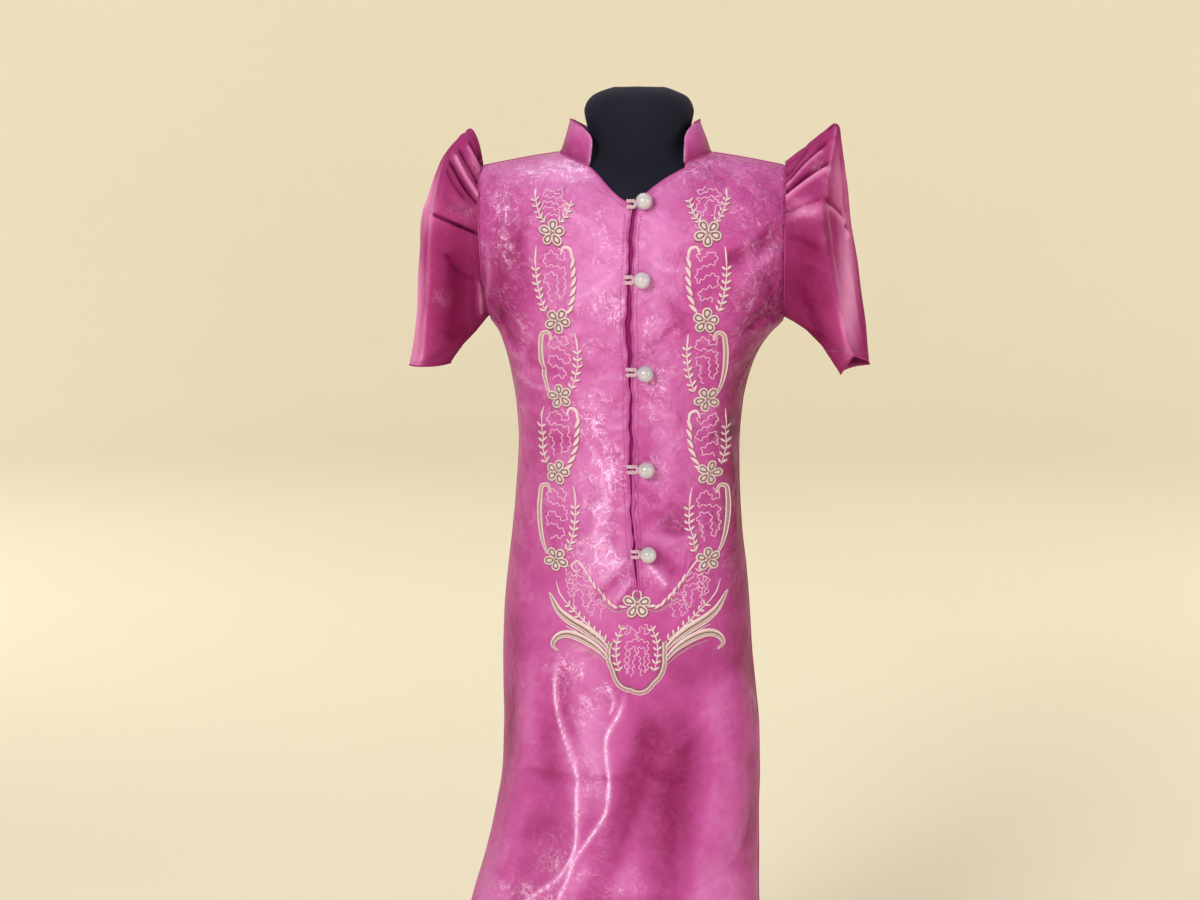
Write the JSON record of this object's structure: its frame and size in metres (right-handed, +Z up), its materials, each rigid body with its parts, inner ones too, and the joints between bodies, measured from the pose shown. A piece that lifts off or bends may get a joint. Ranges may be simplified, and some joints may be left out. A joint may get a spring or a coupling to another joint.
{
  "type": "filipiniana dress on a dress form",
  "caption": "Child's long embroidered dress with stiff pleated butterfly sleeves, stand collar and buttoned centre slit, on a limbless dress form with pole and round base.",
  "frame": {"origin": "centre of the base's underside, on the floor", "axes": "+X to the picture's right (the wearer's left), the front faces -Y, +Z up"},
  "size_m": [0.4264, 0.3, 1.012],
  "materials": {
    "pink_satin": "satin",
    "pink_underlap": "satin",
    "pearl": "pearl",
    "pink_cord": "satin",
    "black_jersey": "matte",
    "black_metal": "semi-gloss"
  },
  "bodies": {
    "root": {"front": "pink_satin", "back": "pink_satin", "sleeve_wearers_right": "pink_satin", "sleeve_wearers_left": "pink_satin", "collar": "pink_satin", "placket_underlap": "pink_underlap", "button_1": "pearl", "button_2": "pearl", "button_3": "pearl", "button_4": "pearl", "button_5": "pearl", "loop_1": "pink_cord", "loop_2": "pink_cord", "loop_3": "pink_cord", "loop_4": "pink_cord", "loop_5": "pink_cord", "form_torso": "black_jersey", "form_pole": "black_metal", "form_base": "black_metal"}
  },
  "joints": []
}
